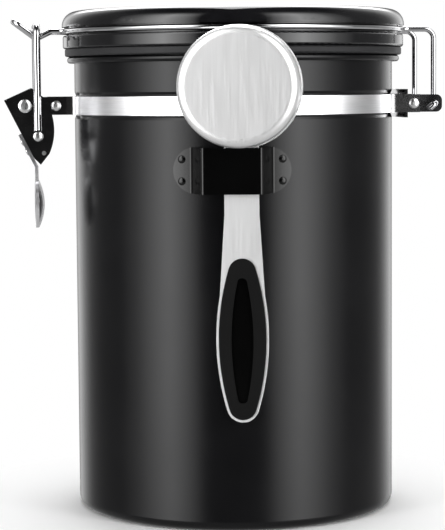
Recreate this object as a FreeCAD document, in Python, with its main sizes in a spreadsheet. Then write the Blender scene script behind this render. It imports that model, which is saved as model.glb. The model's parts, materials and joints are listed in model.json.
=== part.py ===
"""Food canister with a hinged lid, a wire-bail latch and a scoop held in a strap on the front.

Millimetres, +Z up. The origin is the centre of the can's foot, on the can's axis. The front is -Y,
the latch is at -X and the hinge at +X. Driving dimensions are in the Sizes spreadsheet.
"""
import FreeCAD
import Part
import Sketcher

import math
import os
from types import SimpleNamespace

from FreeCAD import Placement, Rotation, Vector

DRIVING = [
    # can
    ("body_radius", 59.0), ("body_wall", 0.8), ("can_height", 166.8), ("foot_round", 3.5),
    ("foot_width", 3.0), ("base_lift", 2.0), ("base_slope", 2.0),
    ("rim_out", 3.0), ("rim_height", 2.2),
    # neck band and its seat in the can
    ("band_drop", 21.0), ("band_height", 6.6), ("band_sheet", 0.9), ("band_bend", 2.0),
    ("seat_depth", 0.5), ("seat_margin", 0.4), ("seat_slope", 1.2),
    # clearances
    ("running_gap", 0.06), ("side_gap", 0.2), ("seal_gap", 0.2), ("touch_gap", 0.05),
    # brackets riveted to the band's flanges, measured outwards from the band and from the pivots
    ("bracket_sheet", 1.2), ("bracket_height", 6.4),
    ("latch_flange_offset", 6.4), ("latch_flange_out", 9.6), ("latch_root_out", 3.0),
    ("latch_web_out", 10.2), ("latch_rivet_out", 6.8), ("latch_pivot_out", 18.1),
    ("latch_arm_end", 3.2), ("latch_arm_round", 2.6),
    ("hinge_flange_out", 7.2), ("hinge_root_out", 1.2), ("hinge_web_out", 1.6),
    ("hinge_rivet_out", 4.9), ("hinge_pivot_out", 13.0), ("hinge_arm_end", 2.6),
    ("hinge_arm_round", 2.2), ("hinge_plate_height", 10.4),
    ("rivet_radius", 1.1), ("rivet_head_radius", 1.85), ("rivet_head_height", 0.7),
    # latch lever, its corners measured from its pivot
    ("lever_sheet", 1.0), ("lever_web", 1.15),
    ("lever_heel_out", 7.5), ("lever_heel_up", 2.0), ("lever_top_in", 2.5), ("lever_top_up", 6.5),
    ("lever_shoulder_in", 6.8), ("lever_shoulder_up", 3.1), ("lever_belly_in", 8.6),
    ("lever_belly_down", 17.4), ("lever_belly_radius", 21.0), ("lever_tip_in", 5.4),
    ("lever_tip_down", 21.4), ("lever_toe_in", 3.1), ("lever_toe_down", 19.1),
    ("pivot_radius", 2.0), ("pivot_bore", 1.0), ("pivot_bore_depth", 1.5),
    ("pivot_flange_radius", 2.45), ("pivot_flange_height", 0.5),
    ("spacer_in", 6.6), ("spacer_down", 17.2), ("spacer_radius", 0.8), ("spacer_proud", 0.4),
    # finger tab below the lever
    ("tab_sheet", 1.2), ("tab_neck_width", 7.0), ("tab_overlap", 10.0), ("tab_drop", 3.2),
    ("paddle_radius", 9.0), ("paddle_dish", 2.2), ("paddle_down", 36.0),
    ("tab_rivet_radius", 0.8), ("tab_rivet_head_radius", 1.5), ("tab_rivet_head_height", 0.5),
    ("tab_rivet_spacing", 4.0),
    # latch link and its pins
    ("link_pin_in", 4.5), ("link_pin_down", 11.0), ("crossbar_rise", 1.9), ("link_wire", 2.6),
    ("link_bend", 4.5), ("link_eye_radius", 2.3), ("link_pin_radius", 1.15),
    ("link_pin_head_radius", 1.8), ("link_pin_head_height", 0.7),
    # bail wire, its catch measured from the link and from the plane of its ring
    ("bail_wire", 2.0), ("bail_gap", 0.1), ("bail_outlet_bend", 4.0), ("leg_bend", 3.5),
    ("hinge_leg_offset", 16.5), ("hinge_bend", 1.5), ("hook_length", 3.0), ("hook_slant", 40.0),
    ("catch_offset", 6.0), ("catch_knee_in", 5.4), ("catch_valley_in", 0.2),
    ("catch_valley_drop", 2.5), ("catch_tip_out", 8.2), ("catch_tip_rise", 3.8),
    ("catch_bend", 2.4), ("catch_end_bend", 3.0),
    # lid, its radii measured outwards or inwards from the can's body
    ("gasket_out", 3.4), ("gasket_height", 2.9), ("gasket_round", 0.7),
    ("plug_in", 6.5), ("plug_depth", 5.0), ("plug_round", 1.2), ("lid_wall", 1.6),
    ("lid_band_out", 4.1), ("lid_band_height", 4.8), ("lid_band_round", 0.8),
    ("groove_out", 2.0), ("groove_height", 3.0), ("spigot_wall", 1.5), ("spigot_height", 1.3),
    ("seat_ledge", 0.8), ("dome_out", 4.4), ("dome_edge", 0.5), ("dome_round", 5.4),
    ("crown_rise", 0.8), ("tray_radius", 28.0), ("tray_depth", 2.6), ("tray_lip", 0.5),
    # date dials and valve
    ("dial_gap", 0.15), ("dial_height", 2.0), ("dial_step_height", 0.9), ("dial_step_width", 1.2),
    ("month_dial_radius", 17.4), ("valve_flange_radius", 8.2), ("valve_cap_radius", 4.9),
    ("valve_cap_height", 3.3), ("valve_slot_width", 4.8), ("valve_slot_depth", 1.0),
    ("valve_stem_radius", 4.0), ("valve_stem_length", 3.0), ("valve_bore", 3.0),
    ("valve_roof", 0.8), ("vent_radius", 0.5), ("vent_circle", 1.5),
    ("membrane_height", 0.8), ("filter_hole", 5.0), ("filter_radius", 8.0), ("filter_height", 1.0),
    # scoop holder
    ("holder_turn", -7.5), ("holder_drop", 47.8), ("holder_height", 15.9), ("holder_sheet", 0.9),
    ("holder_stand", 9.0), ("holder_face", 20.8), ("holder_foot", 28.0), ("holder_width", 41.0),
    ("holder_bend", 1.2), ("ear_bulge", 6.2), ("stud_radius", 0.8), ("stud_head_radius", 1.4),
    ("stud_head_height", 0.5), ("stud_spread", 17.2), ("stud_pitch", 7.6),
    # scoop, its handle measured down from the bowl's middle
    ("scoop_twist", -4.0), ("scoop_shift", 3.3), ("scoop_stand", 5.0), ("bowl_radius", 20.6),
    ("bowl_depth", 19.0), ("bowl_wall", 0.8), ("bowl_round", 3.0), ("bowl_lip", 0.5),
    ("handle_sheet", 1.4), ("handle_neck_width", 12.0), ("neck_drop", 43.7), ("join_drop", 71.7),
    ("handle_border", 0.9), ("grip_top_drop", 62.2), ("grip_tip_drop", 111.3),
    ("grip_cap_half", 4.6), ("grip_cap_radius", 4.8), ("grip_side_radius", 85.5), ("grip_proud", 0.5),
    ("recess_top_drop", 66.5), ("recess_tip_drop", 108.0), ("recess_cap_half", 1.6),
    ("recess_cap_radius", 1.8), ("recess_side_radius", 99.0), ("recess_depth", 0.9),
]

VENT_COUNT = 4
FULL_TURN = 360.0
QUARTER_TURN = 90.0
LEFT = -1
RIGHT = 1
FRONT = -1
REAR = 1
UP = Vector(0, 0, 1)
TOLERANCE = 1e-4

doc = FreeCAD.newDocument("food_canister")
sheet = doc.addObject("Spreadsheet::Sheet", "Sizes")
for row, (alias, number) in enumerate(DRIVING, start=1):
    sheet.set(f"A{row}", alias)
    sheet.set(f"B{row}", str(number))
    sheet.setAlias(f"B{row}", alias)
doc.recompute()


class Size:
    """A number together with the spreadsheet expression that gives it."""

    def __init__(self, value, text):
        self.value = float(value)
        self.text = text

    def __add__(self, other):
        other = as_size(other)
        return Size(self.value + other.value, f"({self.text} + {other.text})")

    def __sub__(self, other):
        other = as_size(other)
        return Size(self.value - other.value, f"({self.text} - {other.text})")

    def __mul__(self, other):
        other = as_size(other)
        return Size(self.value * other.value, f"({self.text} * {other.text})")

    def __truediv__(self, other):
        other = as_size(other)
        return Size(self.value / other.value, f"({self.text} / {other.text})")

    def __rmul__(self, other):
        return as_size(other) * self

    def __neg__(self):
        return Size(-self.value, f"(0 - {self.text})")


def as_size(number):
    """A plain number as a Size; a Size stays as it is."""
    if isinstance(number, Size):
        return number
    return Size(number, repr(float(number)))


def root(size):
    """Square root of a Size."""
    return Size(math.sqrt(size.value), f"sqrt({size.text})")


s = SimpleNamespace(**{alias: Size(sheet.get(alias), f"Sizes.{alias}") for alias, _ in DRIVING})

# Heights and offsets that several pieces share
band_low = s.can_height - s.band_drop
band_mid = band_low + s.band_height / 2
seat_radius = s.body_radius - s.seat_depth
band_radius = seat_radius + s.band_sheet / 2
band_outer = seat_radius + s.band_sheet
mouth_radius = seat_radius - s.body_wall
plug_radius = s.body_radius - s.plug_in
lid_band_radius = s.body_radius + s.lid_band_out
groove_radius = s.body_radius + s.groove_out
dome_radius = s.body_radius + s.dome_out
gasket_low = s.can_height + s.seal_gap
lid_low = gasket_low + s.gasket_height
groove_low = lid_low + s.lid_band_height
groove_high = groove_low + s.groove_height
ring_height = groove_low + s.groove_height / 2
dome_shoulder = groove_high + s.dome_edge + s.dome_round
crown_height = dome_shoulder + s.crown_rise
tray_floor = crown_height - s.tray_depth
spigot_radius = groove_radius - s.seat_ledge
dial_high = tray_floor + s.dial_gap + s.dial_height
dial_overlap = tray_floor + s.dial_gap + s.dial_step_height + s.dial_gap
plug_low = s.can_height - s.plug_depth
bail_ring_radius = groove_radius + s.bail_gap + s.bail_wire / 2
latch_arm_inner = s.latch_flange_offset + s.band_sheet / 2 + s.touch_gap
latch_arm_outer = latch_arm_inner + s.bracket_sheet
lever_inner = latch_arm_outer + s.side_gap
lever_outer = lever_inner + s.lever_sheet
pivot_end = lever_outer + s.pivot_flange_height
link_offset = pivot_end + s.side_gap + s.link_wire / 2
latch_pivot_reach = band_outer + s.latch_pivot_out
link_reach = latch_pivot_reach - s.link_pin_in
link_pin_z = band_mid - s.link_pin_down
hinge_pivot_reach = band_outer + s.hinge_pivot_out
hinge_arm_inner = s.hinge_leg_offset + s.hinge_bend + s.side_gap
hinge_arm_outer = hinge_arm_inner + s.bracket_sheet
hinge_flange_offset = hinge_arm_outer + s.touch_gap + s.band_sheet / 2
hook_offset = hinge_arm_outer + s.side_gap + s.hinge_bend
holder_low = s.can_height - s.holder_drop
holder_mid = holder_low + s.holder_height / 2
bowl_height = holder_low + s.holder_height + s.side_gap + s.bowl_radius
grip_low = bowl_height - s.grip_tip_drop
grip_high = bowl_height - s.grip_top_drop
scoop_reach = s.body_radius + s.scoop_stand + s.handle_sheet / 2


def new_body(label):
    """An empty body whose label names its node."""
    body = doc.addObject("PartDesign::Body", label)
    body.Label = label
    return body


def new_sketch(body, plane, offset=()):
    """A sketch on one of the body's own origin planes, offset along the plane's x, y and normal."""
    sketch = body.newObject("Sketcher::SketchObject", f"{body.Name}_sketch")
    support = [feature for feature in body.Origin.OriginFeatures if feature.Role == plane][0]
    sketch.AttachmentSupport = [(support, "")]
    sketch.MapMode = "FlatFace"
    for axis, size in zip("xyz", offset):
        sketch.setExpression(f"AttachmentOffset.Base.{axis}", size.text)
    return sketch


def bind(sketch, kind, size, *where):
    """A dimension of a sketch, driven by the size's expression."""
    index = sketch.addConstraint(Sketcher.Constraint(kind, *where, size.value))
    name = f"{kind}_{index}"
    sketch.renameConstraint(index, name)
    sketch.setExpression(f"Constraints.{name}", size.text)


def pin_point(sketch, geometry, position, x, y):
    """Fix a point of a sketch at two sizes measured from the sketch's origin."""
    for kind, size, axis in (("DistanceX", as_size(x), -2), ("DistanceY", as_size(y), -1)):
        if size.value == 0:
            sketch.addConstraint(Sketcher.Constraint("PointOnObject", geometry, position, axis))
        else:
            bind(sketch, kind, size, -1, 1, geometry, position)


def flat_arc(start, end, radius):
    """Short arc in a sketch: a positive radius turns left from start to end, a negative one right."""
    chord = end - start
    middle = (start + end) * 0.5
    side = Vector(-chord.y, chord.x, 0).normalize() * math.copysign(1, radius)
    centre = middle + side * math.sqrt(radius ** 2 - (chord.Length / 2) ** 2)
    first, last = (start, end) if radius > 0 else (end, start)
    angles = [math.atan2(point.y - centre.y, point.x - centre.x) for point in (first, last)]
    return Part.ArcOfCircle(Part.Circle(centre, UP, abs(radius)), *angles)


def outline(sketch, corners):
    """Closed outline; a corner with a third size starts an arc of that signed radius."""
    base = sketch.GeometryCount
    spots = [Vector(as_size(corner[0]).value, as_size(corner[1]).value, 0) for corner in corners]
    ends = []
    for index, corner in enumerate(corners):
        start = spots[index]
        end = spots[(index + 1) % len(corners)]
        if len(corner) == 3:
            sketch.addGeometry(flat_arc(start, end, corner[2].value), False)
            ends.append((1, 2) if corner[2].value > 0 else (2, 1))
        else:
            sketch.addGeometry(Part.LineSegment(start, end), False)
            ends.append((1, 2))
    for index, corner in enumerate(corners):
        follower = (index + 1) % len(corners)
        sketch.addConstraint(Sketcher.Constraint(
            "Coincident", base + index, ends[index][1], base + follower, ends[follower][0]))
        pin_point(sketch, base + index, ends[index][0], corner[0], corner[1])
    for index, corner in enumerate(corners):
        if len(corner) == 3:
            radius = corner[2] if corner[2].value > 0 else -corner[2]
            bind(sketch, "Radius", radius, base + index)


def circle(sketch, x, y, radius):
    """Circle in a sketch."""
    centre = Vector(as_size(x).value, as_size(y).value, 0)
    geometry = sketch.addGeometry(Part.Circle(centre, UP, radius.value), False)
    pin_point(sketch, geometry, 3, x, y)
    bind(sketch, "Radius", radius, geometry)


def turn(body, sketch, axis):
    """Turn a sketch about one of its own axes."""
    feature = body.newObject("PartDesign::Revolution", f"{body.Name}_turned")
    feature.Profile = sketch
    feature.ReferenceAxis = (sketch, [axis])
    feature.Angle = FULL_TURN


def revolve(body, corners):
    """Turn an outline of radius and height about Z."""
    sketch = new_sketch(body, "XZ_Plane")
    outline(sketch, corners)
    turn(body, sketch, "V_Axis")


def pad(body, sketch, length):
    """Extrude a sketch to both sides of its plane by half the length each."""
    feature = body.newObject("PartDesign::Pad", f"{body.Name}_pad")
    feature.Profile = sketch
    feature.SideType = "Symmetric"
    feature.setExpression("Length", length.text)


def cut(body, sketch, depth=None, sides="Symmetric", backwards=False):
    """Cut a sketch out of the body: to a depth, or right through where no depth is given."""
    doc.recompute()
    before = body.Shape.Volume
    feature = body.newObject("PartDesign::Pocket", f"{body.Name}_cut")
    feature.Profile = sketch
    feature.SideType = sides
    feature.Reversed = backwards
    if depth is None:
        feature.Type = "ThroughAll"
    else:
        feature.setExpression("Length", depth.text)
    doc.recompute()
    if body.Shape.Volume >= before:
        raise ValueError(f"a cut in {body.Label} takes nothing away")
    return feature


def drill(body, start, direction, length, radius):
    """Round hole along any line."""
    feature = body.newObject("PartDesign::SubtractiveCylinder", f"{body.Name}_drill")
    support = [plane for plane in body.Origin.OriginFeatures if plane.Role == "XY_Plane"][0]
    feature.AttachmentSupport = [(support, "")]
    feature.MapMode = "FlatFace"
    feature.AttachmentOffset = Placement(start, Rotation(UP, direction))
    feature.setExpression("Radius", radius.text)
    feature.Height = length


def round_edges(body, radius, wanted):
    """Round the edges of the body's last feature for which wanted(edge) is true."""
    doc.recompute()
    tip = body.Tip
    names = [f"Edge{number}" for number, edge in enumerate(tip.Shape.Edges, start=1) if wanted(edge)]
    feature = body.newObject("PartDesign::Fillet", f"{body.Name}_round")
    feature.Base = (tip, names)
    feature.setExpression("Radius", radius.text)


def is_ring(edge, radius, height):
    """True for a level circular edge of this radius at this height."""
    if not isinstance(edge.Curve, Part.Circle):
        return False
    same_radius = math.isclose(edge.Curve.Radius, radius.value, abs_tol=TOLERANCE)
    return same_radius and math.isclose(edge.Curve.Center.z, height.value, abs_tol=TOLERANCE)


def add_shape(label, shape):
    """A piece whose shape is set directly, with a label that names its node."""
    piece = doc.addObject("Part::Feature", label)
    piece.Label = label
    piece.Shape = shape


def mirrored(shape):
    """The shape's twin on the other side of the plane of latch and hinge."""
    return shape.mirror(Vector(0, 0, 0), Vector(0, 1, 0))


def turned_pin(start, direction, profile):
    """Solid turned about a line: the profile lists distance along the line and radius."""
    corners = [Vector(radius, 0, along) for along, radius in profile]
    first = Vector(0, 0, profile[0][0])
    last = Vector(0, 0, profile[-1][0])
    face = Part.Face(Part.makePolygon([first, *corners, last, first]))
    solid = face.revolve(Vector(0, 0, 0), UP, FULL_TURN)
    solid.Placement = Placement(start, Rotation(UP, direction))
    return solid


def dome(base, radius, height):
    """Profile of a low dome that starts at a distance along the pin, with a small flat on top."""
    steps = 6
    angles = [math.pi / 2 * step / steps for step in range(steps)]
    return [(base + height * math.sin(angle), radius * math.cos(angle)) for angle in angles]


def headed_rivet(start, direction, grip, radius, head_radius, head_height):
    """Rivet with a domed head at each end; start is one face of the stack that it grips."""
    far = dome(grip, head_radius, head_height)
    near = [(grip - along, across) for along, across in reversed(far)]
    return turned_pin(start, direction, near + [(0, radius), (grip, radius)] + far)


def bent_path(points, bends):
    """Straight edges through the points, joined at the inner points by tangent arcs of the given radii."""
    edges = []
    start = points[0]
    for before, corner, after, bend in zip(points, points[1:], points[2:], bends):
        back = (before - corner).normalize()
        ahead = (after - corner).normalize()
        half = back.getAngle(ahead) / 2
        run = bend / math.tan(half)
        middle = (back + ahead).normalize() * (bend / math.sin(half) - bend)
        edges.append(Part.LineSegment(start, corner + back * run).toShape())
        edges.append(Part.Arc(corner + back * run, corner + middle, corner + ahead * run).toShape())
        start = corner + ahead * run
    edges.append(Part.LineSegment(start, points[-1]).toShape())
    return edges


def rod(edges, diameter):
    """Round wire along a chain of tangent edges."""
    path = Part.Wire(Part.__sortEdges__(edges))
    first = path.OrderedEdges[0]
    section = Part.Wire(Part.makeCircle(diameter / 2, path.OrderedVertexes[0].Point,
                                        first.tangentAt(first.FirstParameter)))
    solid = path.makePipeShell([section], True, False)
    expected = math.pi * diameter ** 2 / 4 * path.Length
    if not math.isclose(solid.Volume, expected, rel_tol=0.01):
        raise ValueError("a wire's volume doesn't match its section times its length")
    return solid


def outlet(radius, offset, bend, side):
    """How a front half ring leaves its circle at one side: points on ring, bend and straight run."""
    centre = Vector(side * math.sqrt((radius + bend) ** 2 - (offset + bend) ** 2), -(offset + bend), 0)
    on_ring = centre * (radius / (radius + bend))
    on_run = Vector(centre.x, -offset, 0)
    middle = centre + ((on_ring - centre) + (on_run - centre)).normalize() * bend
    return on_ring, middle, on_run


def shifted(segment, distance):
    """A line or arc of a flat path, moved sideways to its left."""
    if len(segment) == 2:
        run = segment[1] - segment[0]
        left = Vector(-run.y, run.x, 0).normalize()
        return [point + left * distance for point in segment]
    centre = edge_of(segment).Curve.Center
    turn = (segment[0] - centre).cross(segment[1] - centre).z
    return [point - (point - centre).normalize() * math.copysign(distance, turn * distance)
            for point in segment]


def edge_of(points):
    """Line through two points or arc through three."""
    curve = Part.LineSegment(*points) if len(points) == 2 else Part.Arc(*points)
    return curve.toShape()


def upright_strip(path, thickness, height):
    """Sheet of constant thickness that stands upright along a flat path."""
    left = [shifted(segment, thickness / 2) for segment in path]
    right = [shifted(segment, -thickness / 2) for segment in path]
    edges = [edge_of(points) for points in left]
    edges.append(edge_of([left[-1][-1], right[-1][-1]]))
    edges += [edge_of(points[::-1]) for points in right[::-1]]
    edges.append(edge_of([right[0][0], left[0][0]]))
    return Part.Face(Part.Wire(edges)).extrude(Vector(0, 0, height))


def make_can():
    """Drawn can: raised base, rounded foot, seat for the neck band and a rolled rim."""
    body = new_body("canister_body")
    foot_edge = s.body_radius - s.foot_round
    foot_inner = foot_edge - s.foot_width
    rim_low = s.can_height - s.rim_height
    rim_flat = s.body_radius + s.rim_out - s.rim_height / 2
    rim_round = s.rim_height * 0.55
    seat_low = band_low - s.seat_margin
    seat_high = band_low + s.band_height + s.seat_margin
    floor = s.base_lift + s.body_wall
    revolve(body, [
        (0, s.base_lift), (foot_inner - s.base_slope, s.base_lift), (foot_inner, 0),
        (foot_edge, 0, s.foot_round), (s.body_radius, s.foot_round),
        (s.body_radius, seat_low - s.seat_slope), (seat_radius, seat_low), (seat_radius, seat_high),
        (s.body_radius, seat_high + s.seat_slope), (s.body_radius, rim_low),
        (rim_flat, rim_low, rim_round), (rim_flat, s.can_height), (mouth_radius, s.can_height),
        (mouth_radius, floor + s.foot_round), (mouth_radius - s.foot_round, floor), (0, floor)])


def make_bands():
    """Two halves of the neck band, with end flanges turned outwards and drilled for the rivets."""
    radius = band_radius.value
    latch = outlet(radius, s.latch_flange_offset.value, s.band_bend.value, LEFT)
    hinge = outlet(radius, hinge_flange_offset.value, s.band_bend.value, RIGHT)
    latch_end = Vector(-(band_outer + s.latch_flange_out).value, latch[2].y, 0)
    hinge_end = Vector((band_outer + s.hinge_flange_out).value, hinge[2].y, 0)
    path = [(latch_end, latch[2]), latch[::-1], (latch[0], Vector(0, -radius, 0), hinge[0]),
            hinge, (hinge[2], hinge_end)]
    front = upright_strip(path, s.band_sheet.value, s.band_height.value)
    front.translate(Vector(0, 0, band_low.value))
    for reach in (-(band_outer + s.latch_rivet_out), band_outer + s.hinge_rivet_out):
        start = Vector(reach.value, 0, band_mid.value)
        front = front.cut(Part.makeCylinder(s.rivet_radius.value, radius, start, Vector(0, FRONT, 0)))
    add_shape("front_band", front)
    add_shape("rear_band", mirrored(front))


def make_bracket(label, side, reach, inner, corner, pivot_hole):
    """U-shaped bracket: two arms joined by a web, drilled for its pivot and rivets; gives its body."""
    body = new_body(label)
    low = band_mid - s.bracket_height / 2
    high = band_mid + s.bracket_height / 2
    turn = corner * side
    tip = reach.arm
    profile = new_sketch(body, "XZ_Plane")
    outline(profile, [
        (side * reach.root, low), (side * (tip - corner), low, turn), (side * tip, low + corner),
        (side * tip, high - corner, turn), (side * (tip - corner), high), (side * reach.root, high)])
    pad(body, profile, 2 * (inner + s.bracket_sheet))
    between = new_sketch(body, "XY_Plane")
    margin = s.bracket_height
    for near, far in ((reach.root - margin, reach.web), (reach.web + s.bracket_sheet, tip + margin)):
        outline(between, [(side * near, -inner), (side * far, -inner), (side * far, inner),
                          (side * near, inner)])
    cut(body, between)
    holes = new_sketch(body, "XZ_Plane")
    circle(holes, side * reach.pivot, band_mid, pivot_hole)
    circle(holes, side * reach.rivet, band_mid, s.rivet_radius)
    cut(body, holes)
    return body


def make_brackets():
    """Bracket of the latch on the left and of the hinge, with a taller web, on the right."""
    latch = SimpleNamespace(root=band_outer + s.latch_root_out, web=band_outer + s.latch_web_out,
                            arm=latch_pivot_reach + s.latch_arm_end, pivot=latch_pivot_reach,
                            rivet=band_outer + s.latch_rivet_out)
    make_bracket("latch_bracket", LEFT, latch, latch_arm_inner, s.latch_arm_round,
                 s.pivot_radius + s.running_gap)
    hinge = SimpleNamespace(root=band_outer + s.hinge_root_out, web=band_outer + s.hinge_web_out,
                            arm=hinge_pivot_reach + s.hinge_arm_end, pivot=hinge_pivot_reach,
                            rivet=band_outer + s.hinge_rivet_out)
    bracket = make_bracket("hinge_bracket", RIGHT, hinge, hinge_arm_inner, s.hinge_arm_round,
                           s.bail_wire / 2 + s.running_gap)
    low = band_mid - s.hinge_plate_height / 2
    high = band_mid + s.hinge_plate_height / 2
    far = hinge.web + s.bracket_sheet
    plate = new_sketch(bracket, "XZ_Plane")
    outline(plate, [(hinge.web, low), (far, low), (far, high), (hinge.web, high)])
    pad(bracket, plate, 2 * hinge_arm_outer)


def make_bracket_rivets(label, reach, inner, outer):
    """Pair of rivets through a bracket's arms and the band's flanges."""
    rivets = []
    for way in (FRONT, REAR):
        start = Vector(reach.value, way * inner.value, band_mid.value)
        rivets.append(headed_rivet(start, Vector(0, way, 0), (outer - inner).value, s.rivet_radius.value,
                                   s.rivet_head_radius.value, s.rivet_head_height.value))
    add_shape(label, Part.makeCompound(rivets))


def make_all_bracket_rivets():
    """On the latch the flange is inside the arm, on the hinge it is outside."""
    flange_half = s.band_sheet / 2
    make_bracket_rivets("latch_bracket_rivets", -(band_outer + s.latch_rivet_out),
                        s.latch_flange_offset - flange_half, latch_arm_outer)
    make_bracket_rivets("hinge_bracket_rivets", band_outer + s.hinge_rivet_out,
                        hinge_arm_inner, hinge_flange_offset + flange_half)


def from_pivot(inwards, up):
    """Sketch corner measured from the lever's pivot: towards the can, and upwards."""
    return inwards - latch_pivot_reach, band_mid + up


# The lever's web as a sloping line: its run towards the can and its fall, over its length
web_run = s.lever_toe_in + s.lever_heel_out
web_fall = s.lever_toe_down + s.lever_heel_up
web_length = root(web_run * web_run + web_fall * web_fall)
web_thickness = s.lever_web * web_fall / web_length
tab_stack = s.tab_sheet + s.touch_gap


def on_web(along, depth):
    """Sketch corner measured from the lever's toe: down along the web, and in from its outer face."""
    inwards = s.lever_toe_in + (along * web_run + depth * web_fall) / web_length
    up = (depth * web_run - along * web_fall) / web_length - s.lever_toe_down
    return from_pivot(inwards, up)


def web_normal():
    """Direction square to the lever's web, towards the can."""
    return Vector(web_fall.value, 0, web_run.value).normalize()


def tab_rivet_spots():
    """Where the finger tab's rivets pass the outer face of the lever's web."""
    spots = []
    for way in (-1, 1):
        x, z = on_web(way * s.tab_rivet_spacing / 2 - s.tab_overlap / 2, as_size(0))
        spots.append(Vector(x.value, 0, z.value))
    return spots


def drill_for_tab_rivets(body):
    """Holes for the finger tab's rivets."""
    reach = 2 * (web_thickness + tab_stack).value
    for spot in tab_rivet_spots():
        drill(body, spot - web_normal() * reach, web_normal(), 2 * reach, s.tab_rivet_radius)


def make_lever():
    """Stamped lever: two cheeks joined along the outer edge by a web."""
    body = new_body("latch_lever")
    heel = (-s.lever_heel_out, s.lever_heel_up)
    toe = (s.lever_toe_in, -s.lever_toe_down)
    cheek = new_sketch(body, "XZ_Plane")
    outline(cheek, [
        from_pivot(*heel), from_pivot(*toe), from_pivot(s.lever_tip_in, -s.lever_tip_down),
        (*from_pivot(s.lever_belly_in, -s.lever_belly_down), s.lever_belly_radius),
        from_pivot(s.lever_shoulder_in, s.lever_shoulder_up),
        from_pivot(s.lever_top_in, s.lever_top_up)])
    pad(body, cheek, 2 * lever_outer)
    channel = new_sketch(body, "XZ_Plane")
    far = s.lever_belly_in + s.lever_belly_radius
    above = from_pivot(far, s.lever_top_up + web_length)
    below = from_pivot(far, -s.lever_tip_down - web_length)
    outline(channel, [on_web(-2 * web_length, web_thickness), on_web(web_length, web_thickness),
                      below, above])
    cut(body, channel, depth=2 * lever_inner)
    holes = new_sketch(body, "XZ_Plane")
    circle(holes, -latch_pivot_reach, band_mid, s.pivot_radius)
    circle(holes, *from_pivot(s.link_pin_in, -s.link_pin_down), s.link_pin_radius + s.running_gap)
    circle(holes, *from_pivot(s.spacer_in, -s.spacer_down), s.spacer_radius)
    cut(body, holes)
    drill_for_tab_rivets(body)


def make_lever_pivot():
    """Rivet that the lever turns on, with a round head and a blind bore at each end."""
    body = new_body("lever_pivot_rivet")
    bore_end = pivot_end - s.pivot_bore_depth
    rise = s.pivot_flange_height
    width = s.pivot_flange_radius - s.pivot_bore
    head_round = (width * width + rise * rise) / (2 * rise)
    revolve(body, [
        (0, -bore_end), (s.pivot_bore, -bore_end), (s.pivot_bore, -pivot_end, head_round),
        (s.pivot_flange_radius, -lever_outer),
        (s.pivot_radius, -lever_outer), (s.pivot_radius, lever_outer),
        (s.pivot_flange_radius, lever_outer, head_round),
        (s.pivot_bore, pivot_end), (s.pivot_bore, bore_end), (0, bore_end)])
    body.Placement = Placement(Vector(-latch_pivot_reach.value, 0, band_mid.value),
                               Rotation(Vector(1, 0, 0), QUARTER_TURN))


def make_spacer_pin():
    """Cross pin that keeps the lever's cheeks apart near the tip."""
    pin = doc.addObject("Part::Cylinder", "lever_spacer_pin")
    pin.Label = "lever_spacer_pin"
    half = lever_outer + s.spacer_proud
    pin.setExpression("Radius", s.spacer_radius.text)
    pin.setExpression("Height", (2 * half).text)
    x, z = from_pivot(s.spacer_in, -s.spacer_down)
    pin.Placement = Placement(Vector(x.value, half.value, z.value), Rotation(Vector(1, 0, 0), QUARTER_TURN))


def make_thumb_tab():
    """Finger tab: a neck riveted outside the lever's web, and a dished paddle hanging below it."""
    body = new_body("thumb_tab")
    face_in = -s.touch_gap
    knee_out = on_web(s.tab_drop, -tab_stack)
    knee_in = on_web(s.tab_drop + s.tab_sheet * (web_length - web_fall) / web_run, face_in)
    paddle_z = band_mid - s.paddle_down
    half_width = s.tab_neck_width / 2
    neck_end = paddle_z + root(s.paddle_radius * s.paddle_radius - half_width * half_width)
    neck = new_sketch(body, "XZ_Plane")
    outline(neck, [on_web(-s.tab_overlap, -tab_stack), knee_out, (knee_out[0], neck_end),
                   (knee_in[0], neck_end), knee_in, on_web(-s.tab_overlap, face_in)])
    pad(body, neck, s.tab_neck_width)
    ball = (s.paddle_radius * s.paddle_radius + s.paddle_dish * s.paddle_dish) / (2 * s.paddle_dish)
    paddle = new_sketch(body, "XZ_Plane", (knee_in[0], paddle_z))
    outline(paddle, [
        (s.paddle_dish, 0, ball), (0, s.paddle_radius),
        (-s.tab_sheet, s.paddle_radius, -ball), (s.paddle_dish - s.tab_sheet, 0)])
    turn(body, paddle, "H_Axis")
    drill_for_tab_rivets(body)


def make_tab_rivets():
    """Two rivets through the lever's web and the neck of the finger tab."""
    grip = (web_thickness + tab_stack).value
    outside = web_normal() * -tab_stack.value
    rivets = [headed_rivet(spot + outside, web_normal(), grip, s.tab_rivet_radius.value,
                           s.tab_rivet_head_radius.value, s.tab_rivet_head_height.value)
              for spot in tab_rivet_spots()]
    add_shape("thumb_tab_rivets", Part.makeCompound(rivets))


def make_link_pins():
    """Two headed pins, one in each cheek of the lever, that the link's eyes turn on."""
    head = s.link_pin_head_height.value
    head_radius = s.link_pin_head_radius.value
    inner = lever_inner - s.touch_gap
    grip = (link_offset + s.link_wire / 2 + s.touch_gap - inner).value
    far = dome(grip, head_radius, head)
    profile = [(-head, head_radius), (0, head_radius), (0, s.link_pin_radius.value),
               (grip, s.link_pin_radius.value)] + far
    pins = []
    for way in (FRONT, REAR):
        start = Vector(-link_reach.value, way * inner.value, link_pin_z.value)
        pins.append(turned_pin(start, Vector(0, way, 0), profile))
    add_shape("link_pivot_pins", Part.makeCompound(pins))


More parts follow.
